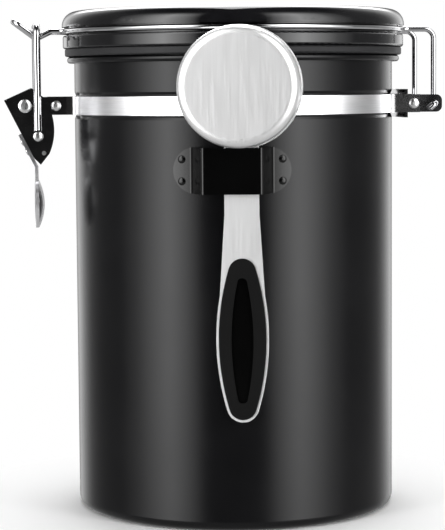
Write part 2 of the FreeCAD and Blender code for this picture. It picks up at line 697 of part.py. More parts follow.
def make_link():
    """Wire link: an upturned U whose legs end in eyes on the lever's pins."""
    x = -link_reach.value
    low = link_pin_z.value
    high = (ring_height + s.crossbar_rise).value
    offset = link_offset.value
    wire = s.link_wire.value
    points = [Vector(x, -offset, low), Vector(x, -offset, high), Vector(x, offset, high),
              Vector(x, offset, low)]
    link = rod(bent_path(points, [s.link_bend.value] * 2), wire)
    along = Vector(0, 1, 0)
    for way in (FRONT, REAR):
        face = Vector(x, way * offset - wire / 2, low)
        link = link.fuse(Part.makeCylinder(s.link_eye_radius.value, wire, face, along))
    reach = offset + wire
    bore = (s.link_pin_radius + s.running_gap).value
    link = link.cut(Part.makeCylinder(bore, 2 * reach, Vector(x, -reach, low), along))
    add_shape("latch_link", link.removeSplitter())


def make_bail():
    """Lid wire: a ring round the lid, a catch loop on the left and two hinge legs on the right."""
    radius = bail_ring_radius.value
    level = ring_height.value
    rise = Vector(0, 0, level)
    catch_y = -s.catch_offset.value
    leg_y = -s.hinge_leg_offset.value
    bend = s.bail_outlet_bend.value
    catch = [point + rise for point in outlet(radius, s.catch_offset.value, bend, LEFT)]
    hinge = [point + rise for point in outlet(radius, s.hinge_leg_offset.value, bend, RIGHT)]
    tip_x = -(link_reach + s.catch_tip_out).value
    valley_x = (s.catch_valley_in - link_reach).value
    knee_x = (s.catch_knee_in - link_reach).value
    tip_z = level + s.catch_tip_rise.value
    catch_points = [
        Vector(tip_x, 0, tip_z), Vector(tip_x, catch_y, tip_z),
        Vector(valley_x, catch_y, level - s.catch_valley_drop.value),
        Vector(knee_x, catch_y, level), catch[2]]
    leg_x = hinge_pivot_reach.value
    pivot_z = band_mid.value
    hook_y = -hook_offset.value
    slant = math.radians(s.hook_slant.value)
    hook = Vector(-math.cos(slant), 0, -math.sin(slant)) * s.hook_length.value
    leg_points = [
        hinge[2], Vector(leg_x, leg_y, level), Vector(leg_x, leg_y, pivot_z),
        Vector(leg_x, hook_y, pivot_z), Vector(leg_x, hook_y, pivot_z) + hook]
    front = bent_path(catch_points, [s.catch_end_bend.value, s.catch_bend.value, s.catch_bend.value])
    front += [edge_of(catch), edge_of([catch[0], Vector(0, -radius, level), hinge[0]]), edge_of(hinge)]
    front += bent_path(leg_points, [s.leg_bend.value, s.hinge_bend.value, s.hinge_bend.value])
    rear = [mirrored(edge) for edge in front]
    add_shape("bail_wire", rod(front + rear, s.bail_wire.value))


def make_lid_base():
    """Lower part of the lid: plug, band and the spigot that the cover sits on."""
    body = new_body("lid_base")
    spigot_inner = spigot_radius - s.spigot_wall
    spigot_high = groove_high + s.spigot_height
    web_high = lid_low + s.lid_wall
    plug_floor = plug_low + s.lid_wall
    plug_inner = plug_radius - s.lid_wall
    corner = s.lid_band_round
    band_flat = lid_band_radius - corner
    revolve(body, [
        (s.filter_hole, plug_low), (plug_radius - s.plug_round, plug_low, s.plug_round),
        (plug_radius, plug_low + s.plug_round), (plug_radius, lid_low), (band_flat, lid_low, corner),
        (lid_band_radius, lid_low + corner), (lid_band_radius, groove_low - corner, corner),
        (band_flat, groove_low), (groove_radius, groove_low), (groove_radius, groove_high),
        (spigot_radius, groove_high), (spigot_radius, spigot_high), (spigot_inner, spigot_high),
        (spigot_inner, web_high), (plug_inner, web_high), (plug_inner, plug_floor),
        (s.filter_hole, plug_floor)])


def make_lid_cover():
    """Upper part of the lid: a low dome with a round tray in the middle."""
    body = new_body("lid_cover")
    inner = spigot_radius + s.touch_gap
    shoulder = dome_radius - s.dome_round
    tray_wall = s.tray_radius + s.lid_wall
    revolve(body, [
        (dome_radius, groove_high), (dome_radius, groove_high + s.dome_edge, s.dome_round),
        (shoulder, dome_shoulder), (s.tray_radius, crown_height), (s.tray_radius, tray_floor),
        (s.valve_stem_radius, tray_floor), (s.valve_stem_radius, tray_floor - s.lid_wall),
        (tray_wall, tray_floor - s.lid_wall), (tray_wall, crown_height - s.lid_wall),
        (shoulder, dome_shoulder - s.lid_wall),
        (inner, groove_high + s.spigot_height + s.seat_ledge), (inner, groove_high)])
    round_edges(body, s.tray_lip, lambda edge: is_ring(edge, s.tray_radius, crown_height))


def make_lid_gasket():
    """Flat seal between the lid and the can's rim."""
    body = new_body("lid_gasket")
    inner = plug_radius + s.touch_gap
    outer = s.body_radius + s.gasket_out
    corner = s.gasket_round
    flat = outer - corner
    revolve(body, [
        (inner, gasket_low), (flat, gasket_low, corner), (outer, gasket_low + corner),
        (outer, lid_low - corner, corner), (flat, lid_low), (inner, lid_low)])


def make_valve_cap():
    """Valve cap in the lid's tray: a flange over the month dial, a slotted top and a hollow stem."""
    body = new_body("valve_cap")
    top = tray_floor + s.valve_cap_height
    bore_high = top - s.valve_slot_depth - s.valve_roof
    neck = s.valve_flange_radius - s.dial_step_width
    stem_low = tray_floor - s.valve_stem_length
    revolve(body, [
        (s.valve_bore, stem_low), (s.valve_stem_radius, stem_low), (s.valve_stem_radius, tray_floor),
        (neck, tray_floor), (neck, dial_overlap), (s.valve_flange_radius, dial_overlap),
        (s.valve_flange_radius, dial_high), (s.valve_cap_radius, dial_high), (s.valve_cap_radius, top),
        (0, top), (0, bore_high), (s.valve_bore, bore_high)])
    slot = new_sketch(body, "XY_Plane", (as_size(0), as_size(0), top))
    half = s.valve_slot_width / 2
    outline(slot, [(-half, -s.valve_flange_radius), (half, -s.valve_flange_radius),
                   (half, s.valve_flange_radius), (-half, s.valve_flange_radius)])
    cut(body, slot, depth=s.valve_slot_depth, sides="One side")
    vent_sketch = new_sketch(body, "XY_Plane", (as_size(0), as_size(0), top))
    circle(vent_sketch, s.vent_circle, 0, s.vent_radius)
    vent = cut(body, vent_sketch, depth=s.valve_slot_depth + 2 * s.valve_roof, sides="One side")
    pattern = body.newObject("PartDesign::PolarPattern", "vent_pattern")
    pattern.Originals = [vent]
    pattern.Axis = (vent_sketch, ["N_Axis"])
    pattern.Angle = FULL_TURN
    pattern.Occurrences = VENT_COUNT
    body.Tip = pattern


def make_valve_inside():
    """Membrane under the valve's vents, and filter disc over the hole in the lid's plug."""
    roof = tray_floor + s.valve_cap_height - s.valve_slot_depth - s.valve_roof
    discs = (("valve_membrane", s.valve_bore - s.touch_gap, s.membrane_height,
              roof - s.touch_gap - s.membrane_height),
             ("valve_filter", s.filter_radius, s.filter_height, plug_low + s.lid_wall))
    for label, radius, height, low in discs:
        disc = doc.addObject("Part::Cylinder", label)
        disc.Label = label
        disc.setExpression("Radius", radius.text)
        disc.setExpression("Height", height.text)
        disc.setExpression("Placement.Base.z", low.text)


def make_dials():
    """Two date rings in the lid's tray; each one's inner step lies under the next piece inwards."""
    low = tray_floor + s.dial_gap
    step_high = low + s.dial_step_height
    step = s.dial_step_width
    valve_neck = s.valve_flange_radius - step
    month = new_body("month_dial")
    revolve(month, [
        (valve_neck + s.dial_gap, low), (s.month_dial_radius - step, low),
        (s.month_dial_radius - step, dial_overlap), (s.month_dial_radius, dial_overlap),
        (s.month_dial_radius, dial_high), (s.valve_flange_radius + s.dial_gap, dial_high),
        (s.valve_flange_radius + s.dial_gap, step_high), (valve_neck + s.dial_gap, step_high)])
    day = new_body("day_dial")
    outer = s.tray_radius - s.dial_gap
    revolve(day, [
        (s.month_dial_radius - step + s.dial_gap, low), (outer, low), (outer, dial_high),
        (s.month_dial_radius + s.dial_gap, dial_high), (s.month_dial_radius + s.dial_gap, step_high),
        (s.month_dial_radius - step + s.dial_gap, step_high)])


def front_of(radius, across):
    """Depth coordinate of the front of a circle, at a distance across."""
    return -root(radius * radius - across * across)


def holder_frame():
    """Turn of the strap and the scoop about the can's axis, off the line square to latch and hinge."""
    return Placement(Vector(0, 0, 0), Rotation(UP, s.holder_turn.value))


def stud_spots():
    """Feet of the strap's studs on the can, before the strap's turn, with their outward directions."""
    spots = []
    for across in (-s.stud_spread, s.stud_spread):
        foot = Vector(across.value, front_of(s.body_radius, across).value, 0)
        outwards = Vector(foot).normalize()
        for way in (-1, 1):
            spots.append((foot + UP * (holder_mid + way * s.stud_pitch / 2).value, outwards))
    return spots


def make_holder():
    """Strap holder on the can's front: two ears, and a loop that stands off for the scoop's handle."""
    body = new_body("scoop_holder")
    on_can = s.body_radius
    outer = s.body_radius + s.holder_sheet
    ear = s.holder_width / 2
    foot = s.holder_foot / 2
    foot_inner = foot - s.holder_sheet
    face = s.holder_face / 2
    face_inner = face - s.holder_sheet
    face_y = -(s.body_radius + s.holder_stand)
    face_inner_y = face_y + s.holder_sheet
    sketch = new_sketch(body, "XY_Plane", (as_size(0), as_size(0), holder_mid))
    outline(sketch, [
        (ear, front_of(outer, ear), -outer), (foot, front_of(outer, foot)), (face, face_y),
        (-face, face_y), (-foot, front_of(outer, foot), -outer), (-ear, front_of(outer, ear)),
        (-ear, front_of(on_can, ear), on_can), (-foot_inner, front_of(on_can, foot_inner)),
        (-face_inner, face_inner_y), (face_inner, face_inner_y),
        (foot_inner, front_of(on_can, foot_inner), on_can), (ear, front_of(on_can, ear))])
    pad(body, sketch, s.holder_height)

    def is_upright_at(edge, across, depth):
        ends = [vertex.Point for vertex in edge.Vertexes]
        level = math.isclose(ends[0].z, ends[-1].z, abs_tol=TOLERANCE)
        spot = Vector(abs(ends[0].x), ends[0].y, 0)
        return not level and spot.isEqual(Vector(across.value, depth.value, 0), TOLERANCE)

    round_edges(body, s.holder_bend, lambda edge: is_upright_at(edge, face, face_y)
                or is_upright_at(edge, foot, front_of(outer, foot)))
    half = s.holder_height / 2
    ear_radius = (half * half + s.ear_bulge * s.ear_bulge) / (2 * s.ear_bulge)
    root_x = ear - s.ear_bulge
    beyond = ear + s.holder_stand
    above = half + s.holder_stand
    ends = new_sketch(body, "XZ_Plane", (as_size(0), holder_mid))
    for side in (LEFT, RIGHT):
        outline(ends, [(side * root_x, -half, side * ear_radius), (side * root_x, half),
                       (side * root_x, above), (side * beyond, above), (side * beyond, -above),
                       (side * root_x, -above)])
    cut(body, ends)
    for spot, outwards in stud_spots():
        drill(body, spot - outwards * s.holder_sheet.value, outwards, 3 * s.holder_sheet.value,
              s.stud_radius)
    body.Placement = holder_frame()


def make_holder_rivets():
    """Studs that hold the strap's ears to the can."""
    grip = s.holder_sheet.value
    profile = [(0, s.stud_radius.value), (grip, s.stud_radius.value)]
    profile += dome(grip, s.stud_head_radius.value, s.stud_head_height.value)
    studs = Part.makeCompound([turned_pin(spot, outwards, profile) for spot, outwards in stud_spots()])
    studs.Placement = holder_frame()
    add_shape("holder_rivets", studs)


def scoop_frame():
    """Frame of the scoop: Z up along its handle, the handle's middle plane at Y = 0."""
    seat = Placement(Vector(s.scoop_shift.value, -scoop_reach.value, 0), Rotation(UP, s.scoop_twist.value))
    return holder_frame() * seat


def make_bowl():
    """Round scoop bowl with a rolled lip, its mouth towards the can."""
    body = new_body("scoop_bowl")
    flat = s.bowl_radius - s.bowl_round
    inner = s.bowl_radius - s.bowl_wall
    lip = s.bowl_radius + s.bowl_lip
    corner = s.bowl_depth - s.bowl_round
    revolve(body, [
        (0, s.bowl_depth), (flat, s.bowl_depth, -s.bowl_round), (s.bowl_radius, corner),
        (s.bowl_radius, s.handle_sheet), (lip, s.handle_sheet), (lip, 0), (inner, 0),
        (inner, corner, s.bowl_round - s.bowl_wall), (flat, s.bowl_depth - s.bowl_wall),
        (0, s.bowl_depth - s.bowl_wall)])
    mouth = Placement(Vector(0, s.handle_sheet.value / 2, bowl_height.value),
                      Rotation(Vector(1, 0, 0), QUARTER_TURN))
    body.Placement = scoop_frame() * mouth


def long_oval(sketch, low, high, half, cap_radius, side_radius):
    """Upright oval: two end caps of a half width, joined by slightly bulging sides."""
    outline(sketch, [(-half, low, cap_radius), (half, low, side_radius),
                     (half, high, cap_radius), (-half, high, side_radius)])


def grip_outline(sketch):
    """Long oval of the grip and of the window that it fills in the handle."""
    long_oval(sketch, grip_low, grip_high, s.grip_cap_half, s.grip_cap_radius, s.grip_side_radius)


def make_handle():
    """Flat scoop handle that widens into an oval frame around the grip."""
    body = new_body("scoop_handle")
    middle = (grip_low + grip_high) / 2
    half_length = (grip_high - grip_low) / 2
    neck_low = bowl_height - s.neck_drop
    join_height = bowl_height - s.join_drop
    side_radius = s.grip_side_radius + s.handle_border
    side_centre = s.grip_cap_half - root(s.grip_side_radius * s.grip_side_radius - half_length * half_length)

    def side_at(height):
        drop = height - middle
        return side_centre + root(side_radius * side_radius - drop * drop)

    tip = side_at(grip_low)
    join = side_at(join_height)
    neck = s.handle_neck_width / 2
    lip = s.bowl_radius + s.bowl_lip
    top = bowl_height - root(lip * lip - neck * neck)
    profile = new_sketch(body, "XZ_Plane")
    outline(profile, [
        (-tip, grip_low, s.grip_cap_radius + s.handle_border), (tip, grip_low, side_radius),
        (join, join_height), (neck, neck_low), (neck, top, -lip), (-neck, top),
        (-neck, neck_low), (-join, join_height, side_radius)])
    pad(body, profile, s.handle_sheet)
    window = new_sketch(body, "XZ_Plane")
    grip_outline(window)
    cut(body, window)
    body.Placement = scoop_frame()


def make_grip():
    """Moulded grip set in the handle's oval frame, with a long recess on each side."""
    body = new_body("scoop_grip")
    half = s.handle_sheet / 2 + s.grip_proud
    profile = new_sketch(body, "XZ_Plane")
    grip_outline(profile)
    pad(body, profile, 2 * half)
    for face, backwards in ((half, False), (-half, True)):
        recess = new_sketch(body, "XZ_Plane", (as_size(0), as_size(0), face))
        long_oval(recess, bowl_height - s.recess_tip_drop, bowl_height - s.recess_top_drop,
                  s.recess_cap_half, s.recess_cap_radius, s.recess_side_radius)
        cut(body, recess, depth=s.recess_depth, sides="One side", backwards=backwards)
    body.Placement = scoop_frame()


def sub_parts():
    """Every piece of the canister: bodies, single primitives and directly shaped pieces."""
    kinds = ("PartDesign::Body", "Part::Cylinder", "Part::Feature")
    return [piece for piece in doc.Objects if piece.TypeId in kinds]


def check_document():
    """Stop if any object failed to build or any piece has no valid shape."""
    for thing in doc.Objects:
        if "Invalid" in thing.State or "Error" in thing.State:
            raise RuntimeError(f"{thing.Label} failed: {thing.State}")
    for piece in sub_parts():
        if piece.Shape.isNull() or not piece.Shape.isValid():
            raise RuntimeError(f"{piece.Label} has no valid shape")


for make in (make_can, make_bands, make_brackets, make_all_bracket_rivets, make_lever, make_lever_pivot,
             make_spacer_pin, make_thumb_tab, make_tab_rivets, make_link_pins, make_link, make_bail,
             make_lid_base, make_lid_cover, make_lid_gasket, make_valve_cap, make_valve_inside,
             make_dials, make_holder, make_holder_rivets, make_bowl, make_handle, make_grip):
    make()
doc.recompute()
check_document()
os.makedirs("parts", exist_ok=True)
for piece in sub_parts():
    piece.Shape.exportStep(f"parts/{piece.Label}.step")
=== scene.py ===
"""Finishes, printed dial numbers, light and camera for the food canister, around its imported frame.

Metres, +Z up, the frame's own axes: the front is -Y, the latch at -X and the hinge at +X.
"""
import json
import math

import bmesh
import bpy
from mathutils import Matrix, Vector


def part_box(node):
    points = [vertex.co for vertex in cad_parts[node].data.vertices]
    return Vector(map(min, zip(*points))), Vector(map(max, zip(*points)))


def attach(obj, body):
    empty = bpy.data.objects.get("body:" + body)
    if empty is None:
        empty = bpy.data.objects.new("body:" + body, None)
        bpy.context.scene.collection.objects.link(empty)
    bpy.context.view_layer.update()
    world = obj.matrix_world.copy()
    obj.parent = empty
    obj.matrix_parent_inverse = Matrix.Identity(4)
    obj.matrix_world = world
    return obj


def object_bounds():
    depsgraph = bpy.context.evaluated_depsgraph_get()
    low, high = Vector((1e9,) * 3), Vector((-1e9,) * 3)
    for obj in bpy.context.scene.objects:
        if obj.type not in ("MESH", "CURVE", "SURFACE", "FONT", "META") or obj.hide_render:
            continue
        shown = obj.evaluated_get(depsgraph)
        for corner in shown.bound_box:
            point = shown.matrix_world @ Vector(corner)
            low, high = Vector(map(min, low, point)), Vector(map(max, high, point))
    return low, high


MM = 0.001

# Camera of the photograph: picture and focal length in pixels, place round the can's axis, tilt and roll
IMAGE_WIDTH = 445
IMAGE_HEIGHT = 530
SENSOR = 36.0
FOCAL_PIXELS = 1998.0
CAMERA_AZIMUTH = -7.0
CAMERA_DISTANCE = 0.748
CAMERA_HEIGHT = 0.1564
CAMERA_PITCH = 5.16
CAMERA_ROLL = -0.42
AXIS_PIXEL = 234.4

# Studio in reflections: its walls' brightness by angle in degrees round from the camera's side,
# then its ceiling, its table and a light high up behind the can
WALLS = [(0, 0.01), (22, 0.02), (33, 4.0), (47, 7.8), (60, 4.6), (73, 1.6), (88, 0.28), (112, 0.26),
         (128, 0.5), (145, 1.5), (157, 1.7), (166, 0.5), (172, 0.12)]
CEILING = 0.03
TABLE = 0.55
BACK_LIGHT = 9.0
# Heights at which they meet, as sines of the angle up, and the back light's sides, as cosines round
WALLS_TO_CEILING = (0.62, 0.90)
WALLS_TO_TABLE = (-0.10, -0.40)
BACK_LIGHT_FOOT = (0.25, 0.5)
BACK_LIGHT_SIDES = (-0.88, -0.97)
# Light of the room on matt surfaces, and the white that the camera sees
AMBIENT = 0.55
BACKGROUND = 1.0

# Soft boxes, aimed at the can's middle; the angle is in degrees round from the camera's side
LAMPS = {
    "left_box": dict(side_angle=-47.0, height=0.25, distance=1.2, width=0.30, tall=1.1, energy=9.0),
    "right_box": dict(side_angle=50.0, height=0.25, distance=1.2, width=0.30, tall=1.1, energy=10.0),
    "top_box": dict(side_angle=170.0, height=1.1, distance=0.5, width=1.0, tall=0.8, energy=7.0),
}

# Floor disc, and the distances from the can's axis between which it fades to plain white
FLOOR_RADIUS = 1.15
FLOOR_SEGMENTS = 96
FLOOR_DROP = 0.05 * MM
FLOOR_COLOUR = (0.93, 0.93, 0.93, 1)
FLOOR_FADE = (0.062, 0.115)

# Rounded breaks on sharp edges: width in millimetres by node
EDGE_BREAKS = {
    "latch_lever": 0.3, "latch_bracket": 0.25, "hinge_bracket": 0.25, "thumb_tab": 0.3,
    "scoop_holder": 0.45, "scoop_handle": 0.22, "scoop_grip": 0.4, "front_band": 0.15,
    "rear_band": 0.15, "lever_pivot_rivet": 0.4, "lever_spacer_pin": 0.12, "day_dial": 0.15,
    "month_dial": 0.15, "valve_cap": 0.2,
}
BREAK_SEGMENTS = 3
BREAK_ANGLE = 35.0

# Printed numbers on the dials: how many, their font sizes and their print
DAYS = 31
MONTHS = 12
DAY_DIGITS = 3.1 * MM
MONTH_DIGITS = 3.4 * MM
PRINT_THICKNESS = 0.06 * MM
PRINT_RESOLUTION = 3

# Turn of the scoop about the can's axis in degrees, and how far from the grip's middle plane its recess ends
SCOOP_TURN = -11.5
RECESS_EDGE = (0.5 * MM, 0.9 * MM)

# How far outside the band's face its flat flanges start, and their roughness as a share of the band's
FLANGE_START = (0.6 * MM, 1.8 * MM)
FLANGE_ROUGHNESS = 0.3

# Span that most of a noise texture's values lie in, the shade of hazy spots on polished metal, and
# the shares of fine grain and broad cloud in the brushed steel's colour
NOISE_SPAN = (0.3, 0.7)
HAZE_SHADE = 0.82
GRAIN_SHARE = 0.6
CLOUD_SHARE = 0.4

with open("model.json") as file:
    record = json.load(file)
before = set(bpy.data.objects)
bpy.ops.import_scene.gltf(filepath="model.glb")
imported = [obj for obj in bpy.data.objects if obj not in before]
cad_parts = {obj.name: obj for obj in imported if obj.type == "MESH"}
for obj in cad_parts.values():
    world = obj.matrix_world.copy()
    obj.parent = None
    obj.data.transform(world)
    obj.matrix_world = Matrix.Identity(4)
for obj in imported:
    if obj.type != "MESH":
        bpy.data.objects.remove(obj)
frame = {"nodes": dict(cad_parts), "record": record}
nodes = frame["nodes"]
cad_low, cad_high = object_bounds()
scene = bpy.context.scene


class NodeTree:
    """Adds and links the nodes of one material or world."""

    def __init__(self, tree):
        self.tree = tree

    def add(self, kind, **settings):
        node = self.tree.nodes.new(kind)
        for name, value in settings.items():
            setattr(node, name, value)
        return node

    def link(self, source, target):
        self.tree.links.new(source, target)

    def feed(self, node, values):
        """Give a node's inputs, in order, a constant each or a link to another node."""
        for socket, value in zip(node.inputs, values):
            if isinstance(value, bpy.types.NodeSocket):
                self.link(value, socket)
            else:
                socket.default_value = value

    def math(self, operation, *values):
        node = self.add("ShaderNodeMath", operation=operation)
        self.feed(node, values)
        return node.outputs["Value"]

    def vector_math(self, operation, *values):
        node = self.add("ShaderNodeVectorMath", operation=operation)
        self.feed(node, values)
        return node.outputs["Value" if operation in ("LENGTH", "DOT_PRODUCT") else "Vector"]

    def split(self, vector):
        node = self.add("ShaderNodeSeparateXYZ")
        self.link(vector, node.inputs["Vector"])
        return node.outputs

    def join(self, *values):
        node = self.add("ShaderNodeCombineXYZ")
        self.feed(node, values)
        return node.outputs["Vector"]

    def spread(self, value, target=(0.0, 1.0), source=NOISE_SPAN, kind="LINEAR"):
        """Map a value from one span to another, held at the ends."""
        node = self.add("ShaderNodeMapRange", interpolation_type=kind)
        for name, number in zip(("From Min", "From Max", "To Min", "To Max"), (*source, *target)):
            node.inputs[name].default_value = number
        self.link(value, node.inputs["Value"])
        return node.outputs["Result"]

    def step(self, value, source):
        """Smooth rise from nought to one over a span."""
        return self.spread(value, source=source, kind="SMOOTHSTEP")

    def mix_shaders(self, factor, first, second):
        node = self.add("ShaderNodeMixShader")
        self.feed(node, (factor, first, second))
        return node.outputs["Shader"]


class Shader(NodeTree):
    """Node tree of one new material with a Principled surface."""

    def __init__(self, name):
        self.material = bpy.data.materials.new(name)
        self.material.use_nodes = True
        super().__init__(self.material.node_tree)
        self.surface = self.tree.nodes["Principled BSDF"]

    def set(self, **values):
        """Set constants on the surface's own sockets."""
        for name, value in values.items():
            self.surface.inputs[name.replace("_", " ")].default_value = value

    def coordinates(self, stretch=(1, 1, 1)):
        """Row-frame coordinates, stretched per axis."""
        place = self.add("ShaderNodeTexCoord")
        mapping = self.add("ShaderNodeMapping")
        mapping.inputs["Scale"].default_value = stretch
        self.link(place.outputs["Object"], mapping.inputs["Vector"])
        return mapping.outputs["Vector"]

    def axis_distance(self):
        """Level distance from the can's axis."""
        return self.vector_math("LENGTH", self.coordinates(stretch=(1, 1, 0)))

    def round_coordinates(self, along, across):
        """Coordinates round the can's axis: angle times along, and radius and height times across."""
        place = self.split(self.coordinates())
        angle = self.math("ARCTAN2", place["Y"], place["X"])
        return self.join(self.math("MULTIPLY", angle, along),
                         self.math("MULTIPLY", self.axis_distance(), across),
                         self.math("MULTIPLY", place["Z"], across))

    def noise(self, vector, scale, detail=4.0, roughness=0.55):
        node = self.add("ShaderNodeTexNoise")
        node.inputs["Scale"].default_value = scale
        node.inputs["Detail"].default_value = detail
        node.inputs["Roughness"].default_value = roughness
        self.link(vector, node.inputs["Vector"])
        return node.outputs["Fac"]

    def colour(self, pattern, dark, light):
        """Base colour that varies between two with a noise pattern."""
        node = self.add("ShaderNodeMix", data_type="RGBA")
        first, second = [socket for socket in node.inputs if socket.type == "RGBA"]
        first.default_value = (*dark, 1)
        second.default_value = (*light, 1)
        self.link(self.spread(pattern), node.inputs["Factor"])
        result = next(socket for socket in node.outputs if socket.type == "RGBA")
        self.link(result, self.surface.inputs["Base Color"])

    def rough(self, value):
        self.link(value, self.surface.inputs["Roughness"])

    def bump(self, height, strength, distance):
        node = self.add("ShaderNodeBump")
        node.inputs["Strength"].default_value = strength
        node.inputs["Distance"].default_value = distance
        self.link(height, node.inputs["Height"])
        self.link(node.outputs["Normal"], self.surface.inputs["Normal"])


def satin_paint(name, dark, light, rough, shine):
    """Black stoving paint: fine orange peel and faint handling marks."""
    shader = Shader(name)
    place = shader.coordinates()
    marks = shader.noise(place, scale=26.0, detail=5.0)
    peel = shader.noise(place, scale=1500.0, detail=2.0)
    shader.colour(marks, dark, light)
    shader.rough(shader.spread(marks, rough))
    shader.bump(peel, strength=0.10, distance=0.06 * MM)
    shader.set(Specular_IOR_Level=shine)
    return shader.material


def gloss_plastic(name, dark, light, rough, shine):
    """Polished black moulding: faint flow ripple and wiping haze."""
    shader = Shader(name)
    place = shader.coordinates()
    haze = shader.noise(place, scale=45.0, detail=6.0)
    ripple = shader.noise(place, scale=120.0, detail=2.0)
    shader.colour(haze, dark, light)
    shader.rough(shader.spread(haze, rough))
    shader.bump(ripple, strength=0.05, distance=0.12 * MM)
    shader.set(Specular_IOR_Level=shine)
    return shader.material


def moulding(name, dark, light, shine, grain):
    """Fine-grained plastic or rubber without its roughness, and its cloudy pattern."""
    shader = Shader(name)
    place = shader.coordinates()
    cloud = shader.noise(place, scale=70.0)
    pits = shader.noise(place, scale=grain, detail=3.0)
    shader.colour(cloud, dark, light)
    shader.bump(pits, strength=0.15, distance=0.05 * MM)
    shader.set(Specular_IOR_Level=shine)
    return shader, cloud


def matt_plastic(name, dark, light, rough, shine, grain):
    """Plastic or rubber moulding with an evenly matt face."""
    shader, cloud = moulding(name, dark, light, shine, grain)
    shader.rough(shader.spread(cloud, rough))
    return shader.material


def grip_plastic(name, dark, light, rough, shine, grain):
    """Moulding with a smooth, glossy recess inside a matt rim, told apart by their depth in the grip."""
    shader, _ = moulding(name, dark, light, shine, grain)
    low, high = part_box("scoop_grip")
    turn = math.radians(SCOOP_TURN)
    outwards = (math.sin(turn), -math.cos(turn), 0)
    from_middle = shader.vector_math("SUBTRACT", shader.coordinates(), (low + high) / 2)
    depth = shader.math("ABSOLUTE", shader.vector_math("DOT_PRODUCT", from_middle, outwards))
    shader.rough(shader.spread(depth, rough, RECESS_EDGE))
    return shader.material


def polished_metal(name, colour, rough):
    """Plated steel: bright, with faint polishing haze."""
    shader = Shader(name)
    haze = shader.noise(shader.coordinates(), scale=160.0, detail=5.0)
    fine = shader.noise(shader.coordinates(stretch=(1, 1, 6)), scale=900.0, detail=3.0)
    shader.colour(haze, [HAZE_SHADE * part for part in colour], colour)
    shader.rough(shader.spread(haze, rough))
    shader.bump(fine, strength=0.03, distance=0.03 * MM)
    shader.set(Metallic=1.0)
    return shader.material


def rolled_band(name, dark, light, rough):
    """Bright rolled strip, its fine lines running round the can, its flat end flanges smoother."""
    shader = Shader(name)
    lines = shader.noise(shader.round_coordinates(along=6.0, across=2600.0), scale=1.0, detail=3.0)
    haze = shader.noise(shader.coordinates(), scale=60.0)
    shader.colour(lines, dark, light)
    band_face = -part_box("front_band")[0].y
    flanges = [band_face + distance for distance in FLANGE_START]
    share = shader.spread(shader.axis_distance(), (1.0, FLANGE_ROUGHNESS), flanges)
    shader.rough(shader.math("MULTIPLY", shader.spread(haze, rough), share))
    shader.bump(lines, strength=0.05, distance=0.03 * MM)
    shader.set(Metallic=1.0)
    return shader.material


def brushed_steel(name, dark, light, rough):
    """Stainless steel brushed along the scoop's handle."""
    shader = Shader(name)
    along_handle = shader.coordinates(stretch=(2600, 2600, 55))
    grain = shader.noise(along_handle, scale=1.0, detail=5.0, roughness=0.65)
    cloud = shader.noise(shader.coordinates(stretch=(240, 240, 28)), scale=1.0)
    both = shader.math("ADD", shader.math("MULTIPLY", grain, GRAIN_SHARE),
                       shader.math("MULTIPLY", cloud, CLOUD_SHARE))
    shader.colour(both, dark, light)
    shader.rough(shader.spread(grain, rough))
    shader.bump(grain, strength=0.05, distance=0.03 * MM)
    shader.set(Metallic=1.0)
    return shader.material


def felt(name, dark, light):
    """Pale filter felt with loose fibres."""
    shader = Shader(name)
    lay = shader.coordinates(stretch=(1, 3, 1))
    fibres = shader.noise(lay, scale=1400.0, detail=6.0, roughness=0.7)
    shader.colour(fibres, dark, light)
    shader.bump(fibres, strength=0.6, distance=0.2 * MM)
    shader.set(Roughness=0.95)
    return shader.material


def number_paint(name, dark, light):
    """Pale print on the date dials."""
    shader = Shader(name)
    wear = shader.noise(shader.coordinates(), scale=700.0)
    shader.colour(wear, dark, light)
    shader.set(Roughness=0.55)
    return shader.material


def make_finishes():
    """One material for each material slot of the record, by the slot's name."""
    recipes = {
        "satin_black_paint": (satin_paint, dict(dark=(0.003, 0.003, 0.0035), light=(0.005, 0.005, 0.0055),
                                                rough=(0.19, 0.25), shine=0.2)),
        "holder_paint": (satin_paint, dict(dark=(0.001, 0.001, 0.001), light=(0.002, 0.002, 0.002),
                                           rough=(0.14, 0.20), shine=0.30)),
        "bright_band": (rolled_band, dict(dark=(0.80, 0.80, 0.81), light=(0.92, 0.92, 0.93),
                                          rough=(0.34, 0.42))),
        "bright_wire": (polished_metal, dict(colour=(0.58, 0.58, 0.59), rough=(0.05, 0.11))),
        "stamped_steel": (polished_metal, dict(colour=(0.56, 0.56, 0.57), rough=(0.06, 0.13))),
        "rivet_steel": (polished_metal, dict(colour=(0.80, 0.80, 0.80), rough=(0.26, 0.34))),
        "gloss_black_plastic": (gloss_plastic, dict(dark=(0.004, 0.004, 0.0045), light=(0.008, 0.008, 0.009),
                                                    rough=(0.06, 0.14), shine=0.4)),
        "grey_seal": (matt_plastic, dict(dark=(0.012, 0.012, 0.013), light=(0.020, 0.020, 0.021),
                                         rough=(0.5, 0.65), shine=0.25, grain=2200.0)),
        "dial_plastic": (matt_plastic, dict(dark=(0.016, 0.016, 0.017), light=(0.026, 0.026, 0.027),
                                            rough=(0.42, 0.55), shine=0.25, grain=2600.0)),
        "valve_plastic": (matt_plastic, dict(dark=(0.012, 0.012, 0.013), light=(0.02, 0.02, 0.021),
                                             rough=(0.30, 0.42), shine=0.25, grain=2600.0)),
        "filter_felt": (felt, dict(dark=(0.60, 0.58, 0.53), light=(0.82, 0.80, 0.75))),
        "scoop_steel": (brushed_steel, dict(dark=(0.90, 0.90, 0.90), light=(0.97, 0.97, 0.97),
                                            rough=(0.40, 0.47))),
        "grip_plastic": (grip_plastic, dict(dark=(0.001, 0.001, 0.001), light=(0.002, 0.002, 0.002),
                                            rough=(0.08, 0.42), shine=0.2, grain=3200.0)),
    }
    return {slot: finish(slot, **settings) for slot, (finish, settings) in recipes.items()}


